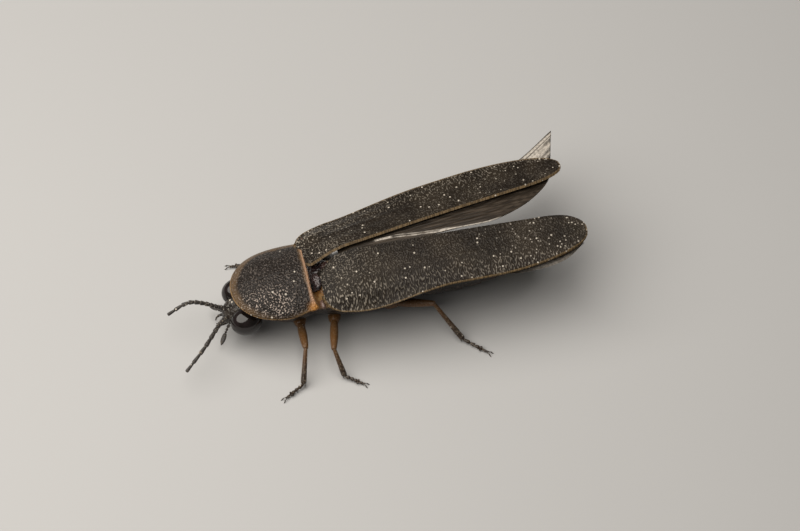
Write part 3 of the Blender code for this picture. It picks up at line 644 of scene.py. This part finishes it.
scutellum_finish, shader, place, lay = start_finish("scutellum", {"Specular IOR Level": 0.6})
grain = place.noise(9.0, 1.5)
tip_dust = lay.part("Y").step(0.5, 0.8) * place.noise(10.0, 2.0).step(0.45, 0.6)
colour = place.noise(3.0).step(0.4, 0.6).tint((0.012, 0.01, 0.011), (0.035, 0.018, 0.017))
feed(shader, Base_Color=tip_dust.tint(colour, (0.24, 0.17, 0.1)), Roughness=0.16 + 0.5 * tip_dust,
     Normal=(grain + 0.3 * place.noise(22.0, 1.0)).relief(0.07))

scutellum = lay_grid("scutellum_plate", SCUTELLUM_COLUMNS, SCUTELLUM_ROWS, scutellum_point)
add_and_apply(scutellum, "SOLIDIFY", thickness=SCUTELLUM_THICKNESS, offset=-1.0)
settle(scutellum, [scutellum_finish], ["scutellum"])

# The wing cases: two long leathery covers, hinged beside the scutellum on small knobs. They are
# charcoal, finely wrinkled and dusted with pale grains, and their rolled rim is ochre outside.
CASE_LENGTH = 8.75
CASE_WIDTH = 1.8
CASE_WIDTHS = ((0, 1.76), (0.15, 1.92), (0.5, 1.76), (1, 1.66))
CASE_CREST = ((0, 2.5), (0.15, 2.82), (0.5, 2.85), (1, 2.8))
CASE_SIDE_DROP = ((0, 0.3), (0.15, 0.52), (0.5, 0.14), (1, 0.06))
CASE_SHOULDER = 0.07
CASE_BASE_SHARE = 0.68
CASE_CORNER = {1: 0.36, -1: -0.1}
CASE_START = {1: 0.0, -1: -0.28}
CASE_INNER_TURN = (0.84, 2.5)
CASE_OUTER_TURN = (0.64, 2.0)
CASE_TIP_X = 0.64
CASE_TIP_HALF = 0.05
CASE_RIBS = (0.25, 0.5, 0.75)
CASE_RIB_HEIGHT, CASE_RIM_HEIGHT, CASE_HUMP_HEIGHT = 0.022, 0.03, 0.09
CASE_BASE_Y = {1: 0.33, -1: 0.3}
CASE_INNER_X = {1: -0.05, -1: 0.1}
CASE_HINGE_X = 0.33
CASE_SPLAY = {1: math.radians(3.2), -1: math.radians(7.5)}
CASE_ROLL = {1: math.radians(7), -1: math.radians(12)}
CASE_THICKNESS = 0.085
CASE_DARK_LIP = {1: 0.06, -1: 0.0}
CASE_COLUMNS, CASE_ROWS = 48, 180
CASE_CHARCOAL = (0.011, 0.0078, 0.0052)
CASE_GREY = (0.024, 0.018, 0.012)
CASE_OCHRE = (0.14, 0.095, 0.048)
# Colour of the pale hairs and painted glints on the wing cases.
CASE_HAIR_AND_PAINTED_GLINT = (0.25, 0.22, 0.18)
KNOB_PLACE = (1.32, 0.2, 2.0)
KNOB_RADIUS, KNOB_SHAPE = 0.1, (1.8, 0.9, 0.8)
KNOB_PINK = (0.12, 0.065, 0.05)


def stations(x, table):
    """A value read at x between (x, value) stations, level at each of them."""
    for (x0, v0), (x1, v1) in zip(table, table[1:]):
        if x <= x1:
            return blend(v0, v1, ease(x, x0, x1))
    return table[-1][1]


def round_off(x, start, power):
    """1 up to start, then a rounded fall to 0 at x = 1."""
    t = min(max(x - start, 0.0) / (1 - start), 1.0)
    return math.sqrt(1 - t ** power)


def case_edges(side, along):
    """The inner and outer edge of a wing case, across from its own crest."""
    shoulder = math.sqrt(1 - (1 - min(along / CASE_SHOULDER, 1.0)) ** 2)
    full = stations(along, CASE_WIDTHS) * blend(CASE_BASE_SHARE, 1.0, shoulder)
    start = CASE_INNER_X[side] + CASE_CORNER[side] * (1 - ease(along, 0.0, CASE_SHOULDER))
    start += 0.1 * (1 - math.sqrt(1 - (1 - min(along / 0.012, 1.0)) ** 2))
    inner = blend(CASE_TIP_X - CASE_TIP_HALF, start, round_off(along, *CASE_INNER_TURN))
    outer = blend(CASE_TIP_X + CASE_TIP_HALF, full, round_off(along, *CASE_OUTER_TURN))
    return inner, outer


def case_sag(side, x, along):
    """How far a wing case lies below its crest at a distance across it."""
    fall = stations(along, CASE_SIDE_DROP) * (abs(x) / CASE_WIDTH) ** 1.8
    return x * math.sin(CASE_ROLL[side]) + fall * math.cos(CASE_ROLL[side])


def case_steps(c, r):
    """Shares across and along, closer together at the edges and the ends."""
    return (1 - math.cos(math.pi * c / CASE_COLUMNS)) / 2, (1 - math.cos(math.pi * r / CASE_ROWS)) / 2


def case_point(side, c, r):
    """A point of a wing case's upper face, swung out from its hinge."""
    across, along = case_steps(c, r)
    inner, outer = case_edges(side, along)
    x = blend(inner, outer, across)
    y = blend(CASE_START[side], CASE_LENGTH, along)
    z = stations(along, CASE_CREST) - case_sag(side, x, along)
    fade = ease(along, 0.02, 0.15) * (1 - ease(along, 0.6, 0.92))
    for rib in CASE_RIBS:
        z += CASE_RIB_HEIGHT * ridge(across, rib, 0.09) * fade
    rims = ridge(across, 0, 0.05) + ridge(across, 1, 0.05)
    z += CASE_RIM_HEIGHT * rims * (1 - ease(along, 0.93, 1.0))
    z += CASE_HUMP_HEIGHT * ridge(across, 0.72, 0.3) * ridge(along, 0.06, 0.06)
    splay = CASE_SPLAY[side]
    reach = x * math.cos(CASE_ROLL[side]) - CASE_HINGE_X
    x = CASE_HINGE_X + reach * math.cos(splay) + y * math.sin(splay)
    y = CASE_BASE_Y[side] + y * math.cos(splay) - reach * math.sin(splay)
    return Vector((side * x, y, z))


def case_note(side, c, r):
    """Marks the place across and along, and how far in from the pale edge a point lies."""
    across, along = case_steps(c, r)
    inner, outer = case_edges(side, along)
    wide = outer - inner
    edge = min(across * wide + CASE_DARK_LIP[side], (1 - across) * wide, (1 - along) * CASE_LENGTH)
    return (blend(inner, outer, across), along * CASE_LENGTH, edge)


case_finish, shader, place, lay = start_finish("wing case", {"Specular IOR Level": 0.13})
out_from_crest, edge = lay.part("X"), lay.part("Z")
along = lay.part("Y")
flat = lay.stretch(1.0, 1.0, 0.0).warp(4.0, 0.14)
outer_slope = out_from_crest.step(0.75, 1.3)
wrinkles = flat.stretch(10.0, 21.0, 1.0).noise(1.0, 0.0)
granules = flat.noise(20.0, 0.6)
grain = granules + outer_slope * (wrinkles - granules)
cloud = place.noise(0.9, 3.0)
base = along.step(2.4, 0.4)
# Pale marks on the wrinkles and granules: partly pale hairs, partly painted glints in place of their
# sparkle, painted stronger near the base and on the outer slope.
pale_grain_and_painted_glint = grain.step(0.54, 0.68) * (0.13 + 0.17 * cloud.step(0.4, 0.65) + 0.2 * outer_slope + 0.35 * base)
crumbs = place.specks(7.0, 0.27, 0.14) + place.specks(10.0, 0.3, 0.25) * along.step(4.0, 8.5)
rim = (edge + 0.05 * (place.noise(8.0) - 0.5)).step(0.055, 0.015)
colour = cloud.step(0.35, 0.7).tint(CASE_CHARCOAL, CASE_GREY)
colour = pale_grain_and_painted_glint.tint(colour, CASE_HAIR_AND_PAINTED_GLINT)
colour = (rim * (0.45 + 0.5 * grain.step(0.4, 0.6))).tint(colour, CASE_OCHRE)
colour = crumbs.tint(colour, DUST)
feed(shader, Base_Color=colour, Roughness=0.34 + 0.15 * cloud + 0.4 * crumbs,
     Normal=(grain + 0.5 * crumbs).relief(0.032))

for word, side in (("left", 1), ("right", -1)):
    case = lay_grid("case_shell_" + word, CASE_COLUMNS, CASE_ROWS,
                    lambda c, r: case_point(side, c, r), lambda c, r: case_note(side, c, r))
    if side < 0:
        turn_over(case)
    add_and_apply(case, "SOLIDIFY", thickness=CASE_THICKNESS, offset=-1.0)
    settle(case, [case_finish], ["wing_case_" + word])

knob_finish, shader, place, lay = start_finish("hinge knob", {"Specular IOR Level": 0.5})
feed(shader, Base_Color=place.noise(9.0, 2.0).tint(SHELL_BROWN, KNOB_PINK),
     Roughness=0.2 + 0.15 * place.noise(5.0), Normal=place.noise(14.0, 2.0).relief(0.02))
for word, side in (("left", 1), ("right", -1)):
    bpy.ops.object.select_all(action="DESELECT")
    bpy.ops.mesh.primitive_uv_sphere_add(segments=28, ring_count=18, radius=KNOB_RADIUS,
                                         location=(side * KNOB_PLACE[0], KNOB_PLACE[1], KNOB_PLACE[2]))
    knob = bpy.context.object
    knob.name = "hinge_knob_" + word
    bpy.ops.transform.resize(value=KNOB_SHAPE)
    bpy.ops.object.transform_apply(location=True, scale=True)
    settle(knob, [knob_finish], [])

# The flying wings: thin smoky membrane on stiff veins, folded lengthwise like a fan under the
# wing cases. The right one's tip sticks out past its case, pleated and silvery.
WING_BASE_Y = 1.1
WING_END_Y = {1: 8.85, -1: 8.5}
WING_SLANT = {1: 0.0, -1: 0.6}
WING_INNER = {
    1: ((0, 0.1), (0.3, 0.22), (0.62, 0.3), (0.8, 0.5), (1, 1.15)),
    -1: ((0, -0.1), (0.17, -0.1), (0.34, -0.1), (0.45, -0.1), (0.56, -0.08), (0.67, -0.1), (0.77, 0.08),
         (0.87, 0.42), (0.96, 0.95), (1, 1.35)),
}
WING_FOLD = ((0, 0.26), (0.17, 0.26), (0.25, 0.22), (0.34, 0.1), (0.45, -0.02), (0.56, -0.07),
             (0.67, -0.1), (1, -0.1))
WING_OUTER = {
    1: ((0, 0.95), (0.3, 1.25), (0.5, 1.6), (0.69, 1.93), (0.75, 1.96), (0.85, 1.94), (0.925, 1.78),
        (1, 1.4)),
    -1: ((0, 0.95), (0.3, 1.15), (0.5, 1.4), (0.8, 2.3), (1, 3.36)),
}
FOLD_Y = (4.2, 4.6, 6.3, 6.6)
THREAD_Y = (2.9, 3.1, 4.6, 4.9)
PATCH_Y = (2.3, 2.4, 2.85, 2.95)
WING_VEINS = (0.12, 0.32, 0.52, 0.72, 0.9)
WING_VEIN_HEIGHT, WING_PLEAT_HEIGHT, WING_PLEATS = 0.025, 0.01, 75
FOLD_HEIGHT = 0.06
TIP_RISE, TIP_PLEAT_HEIGHT, TIP_PLEATS = 0.35, 0.03, 38
WING_BELOW_CASE = {1: 0.28, -1: 0.2}
WING_THICKNESS = 0.02
WING_COLUMNS, WING_ROWS = 110, 140
MEMBRANE_SMOKE = (0.02, 0.015, 0.0105)
MEMBRANE_PALE = (0.06, 0.046, 0.034)
# Colour of the pale wing tip and of the painted highlights along the fold and the left wing's edge.
MEMBRANE_PALE_AND_HIGHLIGHT = (0.46, 0.42, 0.37)


def case_height(side, x, y):
    """Height of a wing case's top, at a place measured out from the midline."""
    splay = CASE_SPLAY[side]
    out = x - CASE_HINGE_X
    back = y - CASE_BASE_Y[side]
    reach = out * math.cos(splay) - back * math.sin(splay)
    along = (out * math.sin(splay) + back * math.cos(splay)) / CASE_LENGTH
    own_x = (CASE_HINGE_X + reach) / math.cos(CASE_ROLL[side])
    return stations(along, CASE_CREST) - case_sag(side, own_x, along)


def wing_point(side, c, r):
    """A point of a folded flying wing, below the wing case of its side."""
    across, along = c / WING_COLUMNS, r / WING_ROWS
    x = blend(curve(along, WING_INNER[side]), curve(along, WING_OUTER[side]), across)
    y = blend(WING_BASE_Y, WING_END_Y[side], along)
    y += WING_SLANT[side] * across * ease(along, 0.7, 1.0)
    z = case_height(side, x, y) - WING_BELOW_CASE[side]
    fade = ease(along, 0.0, 0.1)
    for vein in WING_VEINS:
        z += WING_VEIN_HEIGHT * ridge(across, vein, 0.014) * fade
    z += WING_PLEAT_HEIGHT * math.sin(across * WING_PLEATS) * fade
    if side < 0:
        z += FOLD_HEIGHT * ridge(across, 0.0, 0.06) * fade
        z += TIP_RISE * ease(along, 0.82, 1.0) * ease(across, 0.45, 1.0)
        pleats = TIP_PLEAT_HEIGHT * math.sin(across * TIP_PLEATS)
        z += pleats * ease(along, 0.86, 1.0) * ease(across, 0.5, 0.7)
    return Vector((side * x, y, z))


def stretch_of(x, limits):
    """1 along a stretch that comes in between the first two limits and goes out after the third."""
    return ease(x, limits[0], limits[1]) * (1 - ease(x, limits[2], limits[3]))


def wing_note(side, c, r):
    """Marks the pale parts, which are the right wing's pale tip and painted highlights along its fold and
    on the left wing's pale outer edge, and the dark ribs of the tip.
    """
    across, along = c / WING_COLUMNS, r / WING_ROWS
    x = blend(curve(along, WING_INNER[side]), curve(along, WING_OUTER[side]), across)
    gap = x - curve(along, WING_FOLD)
    y = blend(WING_BASE_Y, WING_END_Y[side], along)
    if side > 0:
        # On the left wing: a pale strip along the outer edge near the tip, partly the pale edge of the
        # membrane and partly painted highlight.
        pale_membrane_and_painted_highlight = 0.6 * ease(along, 0.6, 0.9) * ease(across, 0.82, 0.9)
        return (pale_membrane_and_painted_highlight, 0.0, 0.0)
    # On the right wing the band, the threads and the patch along the fold are painted highlights on the
    # fold's edge, the patch partly pale membrane as well; the tip is the wing's own pale membrane.
    band = 1 - ease(abs(gap - 0.04), 0.04, 0.07)
    fold = band * stretch_of(y, FOLD_Y)
    thread = ridge(gap, 0.02, 0.035) + 0.7 * ridge(gap, 0.11, 0.03)
    thread *= stretch_of(y, THREAD_Y)
    patch = band * stretch_of(y, PATCH_Y)
    tip = ease(along, 0.8, 0.9) * ease(across, 0.5, 0.62)
    rib = max(ridge(across, 0.995, 0.03), ridge(across, 0.9, 0.025)) * ease(along, 0.75, 0.85)
    return (max(fold, thread, patch, tip), 0.0, rib)


membrane_finish, shader, place, lay = start_finish("wing membrane", {"Specular IOR Level": 0.18})
pale_membrane_and_painted_highlight, rib = lay.part("X"), lay.part("Z")
streaks = place.stretch(1.0, 0.1, 1.0).noise(12.0, 2.0)
creases = place.noise(11.0, 1.5)
colour = streaks.step(0.4, 0.72).tint(MEMBRANE_SMOKE, MEMBRANE_PALE)
# Pale tip colour, with painted highlights along the fold and on the left wing's edge.
colour = (pale_membrane_and_painted_highlight * (0.6 + 0.5 * creases.step(0.35, 0.6))).tint(colour, MEMBRANE_PALE_AND_HIGHLIGHT)
colour = (0.9 * rib).tint(colour, MEMBRANE_SMOKE)
feed(shader, Base_Color=colour, Roughness=0.36 + 0.15 * streaks,
     Normal=(streaks + pale_membrane_and_painted_highlight * creases).relief(0.02))

for word, side in (("left", 1), ("right", -1)):
    wing = lay_grid("wing_membrane_" + word, WING_COLUMNS, WING_ROWS,
                    lambda c, r: wing_point(side, c, r), lambda c, r: wing_note(side, c, r))
    if side < 0:
        turn_over(wing)
    add_and_apply(wing, "SOLIDIFY", thickness=WING_THICKNESS, offset=-1.0)
    settle(wing, [membrane_finish], ["flying_wing_" + word])

# The legs: hip, thigh, shin and a foot of five joints, the fourth one two-lobed, with two hooked
# claws. They are clear orange-brown at the thigh and darken down the shin, finely haired.
LEG_JOINTS = {
    "leg_front_left": ((0.5, -0.45, 0.62), (2.12, -0.6, 0.95), (2.9, -0.9, 0.15), (3.2, -1.5, 0.07)),
    "leg_middle_left": ((0.6, 0.72, 0.6), (2.4, 0.26, 0.95), (2.92, 0.46, 0.15), (3.3, 0.95, 0.07)),
    "leg_hind_left": ((0.7, 2.3, 0.62), (1.56, 3.85, 1.1), (2.5, 4.52, 0.15), (3.12, 5.13, 0.07)),
    "leg_front_right": ((-0.5, -0.5, 0.62), (-1.8, -0.95, 0.96), (-2.3, -1.35, 0.15),
                        (-2.45, -2.0, 0.07)),
    "leg_middle_right": ((-0.6, 0.75, 0.6), (-2.05, 0.95, 0.96), (-2.5, 1.5, 0.15),
                         (-2.85, 2.1, 0.07)),
    "leg_hind_right": ((-0.7, 2.3, 0.62), (-1.6, 3.75, 1.1), (-2.5, 4.6, 0.15), (-2.95, 5.3, 0.07)),
}
HIP_GIRTH, THIGH_GIRTH, SHIN_GIRTH, FOOT_GIRTH = 0.22, 0.145, 0.095, 0.06
FOOT_JOINTS = (0.0, 0.28, 0.5, 0.68, 0.8, 1.0)
LEG_ORANGE = (0.1, 0.045, 0.013)
LEG_DARK = (0.024, 0.015, 0.0095)
LEG_DUST = (0.3, 0.24, 0.17)
SPUR_LENGTH, SPUR_GIRTH = 0.16, 0.022
LOBE_GIRTH, CLAW_JOINT_GIRTH = 0.05, 0.045
CLAW_GIRTH, CLAW_POINT_GIRTH = 0.026, 0.02
HIP_END, THIGH_START = 0.3, 0.2
LOBED_JOINT, CLAW_JOINT = 3, 4

leg_finish, shader, place, lay = start_finish("leg", {"Specular IOR Level": 0.4})
down_leg = lay.part("X") + 0.12 * (place.noise(3.0, 3.0) - 0.5)
hair = place.noise(22.0, 1.0).step(0.54, 0.68)
colour = down_leg.step(0.38, 0.72).tint(LEG_ORANGE, LEG_DARK)
colour = (hair * (0.15 + 0.4 * down_leg)).tint(colour, LEG_DUST)
colour = place.specks(8.0, 0.25, 0.12).tint(colour, DUST)
feed(shader, Base_Color=colour, Roughness=0.32 + 0.3 * hair,
     Normal=(0.5 * hair + place.noise(9.0, 1.0)).relief(0.012))

thigh_joint = turn_joint("thigh_joint", ((0, 0.5), (0.06, 0.75), (0.3, 1.0), (0.6, 0.98), (0.88, 0.72),
                                         (0.97, 0.62), (1, 0.45)), 20)
shin_joint = turn_joint("shin_joint", ((0, 0.5), (0.04, 0.7), (0.15, 0.72), (0.6, 0.9), (0.92, 1.05),
                                       (0.98, 0.95), (1, 0.6)), 18)
foot_joint = turn_joint("foot_joint", ((0, 0.5), (0.08, 0.62), (0.45, 0.85), (0.85, 1.12), (0.97, 1.0),
                                       (1, 0.6)), 14)
claw_joint = turn_joint("claw_joint", ((0, 1.0), (0.3, 0.9), (0.6, 0.65), (0.85, 0.35), (1, 0.08)), 10)
for name, stops in LEG_JOINTS.items():
    root, knee, ankle, tip = (Vector(p) for p in stops)
    joints = [set_joint(thigh_joint, root, root.lerp(knee, HIP_END), HIP_GIRTH, (0.0, 0.1))]
    joints.append(set_joint(thigh_joint, root.lerp(knee, THIGH_START), knee, THIGH_GIRTH, (0.1, 0.45)))
    joints.append(set_joint(shin_joint, knee.lerp(root, 0.03), ankle, SHIN_GIRTH, (0.45, 0.75)))
    for turn in (1, -1):
        spur = (ankle - knee).normalized() * SPUR_LENGTH + (knee - root).normalized() * 0.04 * turn
        start = knee.lerp(ankle, 0.95) + Vector((0, 0.05 * turn, -0.03))
        joints.append(set_joint(claw_joint, start, start + spur, SPUR_GIRTH, (0.7, 0.75)))
    for i, (near, far) in enumerate(zip(FOOT_JOINTS, FOOT_JOINTS[1:])):
        start = ankle.lerp(tip, near)
        end = ankle.lerp(tip, far)
        share = (blend(0.75, 0.95, near), blend(0.75, 0.95, far))
        ahead = (end - start).normalized()
        aside = Vector((-ahead.y, ahead.x, 0)) * 0.05
        if i == LOBED_JOINT:
            for turn in (1, -1):
                joints.append(set_joint(foot_joint, start, end + aside * turn * 1.2, LOBE_GIRTH, share))
        else:
            girth = CLAW_JOINT_GIRTH if i == CLAW_JOINT else FOOT_GIRTH
            joints.append(set_joint(foot_joint, start, end, girth, share))
    for turn in (1, -1):
        bend = tip + ahead * 0.14 + aside * turn + Vector((0, 0, 0.02))
        point = bend + ahead * 0.1 + aside * turn * 0.6 + Vector((0, 0, -0.07))
        joints.append(set_joint(claw_joint, tip - ahead * 0.02, bend, CLAW_GIRTH, (1.0, 1.0)))
        joints.append(set_joint(claw_joint, bend - ahead * 0.01, point, CLAW_POINT_GIRTH, (1.0, 1.0)))
    leg = join_pieces(name.replace("leg_", "limb_"), joints)
    settle(leg, [leg_finish], [name])
for master in (thigh_joint, shin_joint, foot_joint, claw_joint):
    drop(master)

# The photographer's table: a plain pale floor, one big soft light a little in front of straight
# above, which makes the round glint in the eye, and a long lens looking down at the near side.
AIM = Vector((0.0, 2.5, 1.5))
TOWARD_CAMERA = Vector((0.5987, -0.1437, 0.788)).normalized()
CAMERA_RIGHT = Vector((0.2534, 0.9672, -0.0161)).normalized()
CAMERA_UP = TOWARD_CAMERA.cross(CAMERA_RIGHT)
CAMERA_DISTANCE = 170.0
NEAREST_SEEN, FARTHEST_SEEN = 10.0, 10000.0
PIXELS_PER_MM = 30.9
FRAME_WIDTH = 800 / PIXELS_PER_MM
SENSOR = 36.0
KEY_TOWARD = Vector((-0.06, -0.42, 0.905)).normalized()
KEY_DISTANCE, KEY_RADIUS, KEY_POWER = 60.0, 48.0, 0.085
KEY_COLOUR = (1.0, 0.95, 0.88)
FLOOR_COLOUR = (0.4, 0.4, 0.4)
FLOOR_CLOUD = (0.42, 0.42, 0.42)
FLOOR_SIZE = 600.0
SKY_COLOUR, SKY_STRENGTH = (1.0, 0.97, 0.94, 1.0), 0.1
AIM_RIGHT, AIM_UP = 17.5 / PIXELS_PER_MM, 2.3 / PIXELS_PER_MM

bpy.ops.object.select_all(action="DESELECT")
bpy.ops.mesh.primitive_plane_add(size=FLOOR_SIZE * MM)
floor = bpy.context.object
floor.name = "table"
floor_finish, shader, place, lay = start_finish("table", {"Roughness": 0.8})
feed(shader, Base_Color=place.noise(0.05).tint(FLOOR_COLOUR, FLOOR_CLOUD))
floor.data.materials.append(floor_finish)


def stand_facing(item, spot, toward, right):
    """Puts a lamp or camera at a spot, looking back along toward."""
    up = toward.cross(right)
    turned = Matrix((right, up, toward)).transposed().to_4x4()
    item.matrix_world = Matrix.Translation((spot - home) * MM) @ turned
    bpy.context.collection.objects.link(item)


lamp = bpy.data.lights.new("key", "AREA")
lamp.shape = "DISK"
lamp.size = 2 * KEY_RADIUS * MM
lamp.energy = KEY_POWER
lamp.color = KEY_COLOUR
key = bpy.data.objects.new("key", lamp)
across_key = KEY_TOWARD.cross(Vector((0, 1, 0))).normalized()
stand_facing(key, AIM + KEY_TOWARD * KEY_DISTANCE, KEY_TOWARD, across_key)

world = bpy.data.worlds.new("studio")
world.use_nodes = True
world.node_tree.nodes["Background"].inputs["Color"].default_value = SKY_COLOUR
world.node_tree.nodes["Background"].inputs["Strength"].default_value = SKY_STRENGTH
bpy.context.scene.world = world
bpy.context.scene.view_settings.view_transform = "Standard"

lens = bpy.data.cameras.new("camera")
lens.sensor_width = SENSOR
lens.lens = SENSOR * CAMERA_DISTANCE / FRAME_WIDTH
lens.clip_start = NEAREST_SEEN * MM
lens.clip_end = FARTHEST_SEEN * MM
camera = bpy.data.objects.new("camera", lens)
middle = AIM + CAMERA_RIGHT * AIM_RIGHT + CAMERA_UP * AIM_UP
stand_facing(camera, middle + TOWARD_CAMERA * CAMERA_DISTANCE, TOWARD_CAMERA, CAMERA_RIGHT)
bpy.context.scene.camera = camera
